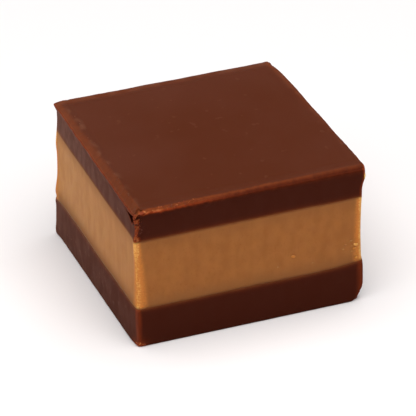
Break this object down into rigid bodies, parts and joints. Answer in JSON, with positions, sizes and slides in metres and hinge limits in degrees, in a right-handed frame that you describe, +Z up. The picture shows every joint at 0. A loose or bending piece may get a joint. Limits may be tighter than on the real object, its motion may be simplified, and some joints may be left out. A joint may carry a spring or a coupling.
{
  "type": "gianduja cube",
  "caption": "Squat square sweet cut from a layered slab: pale hazelnut cream between darker milk gianduja, with a flat lipped top and knife-cut sides.",
  "frame": {"origin": "middle of the underside", "axes": "+Z up through the layers, -Y out of the front cut face, -X out of the left cut face"},
  "size_m": [0.0259, 0.0254, 0.0166],
  "materials": {
    "gianduja": "satin",
    "hazelnut_cream": "matte"
  },
  "bodies": {
    "root": {"base_layer": "gianduja", "cream_layer": "hazelnut_cream", "top_layer": "gianduja"}
  },
  "joints": []
}
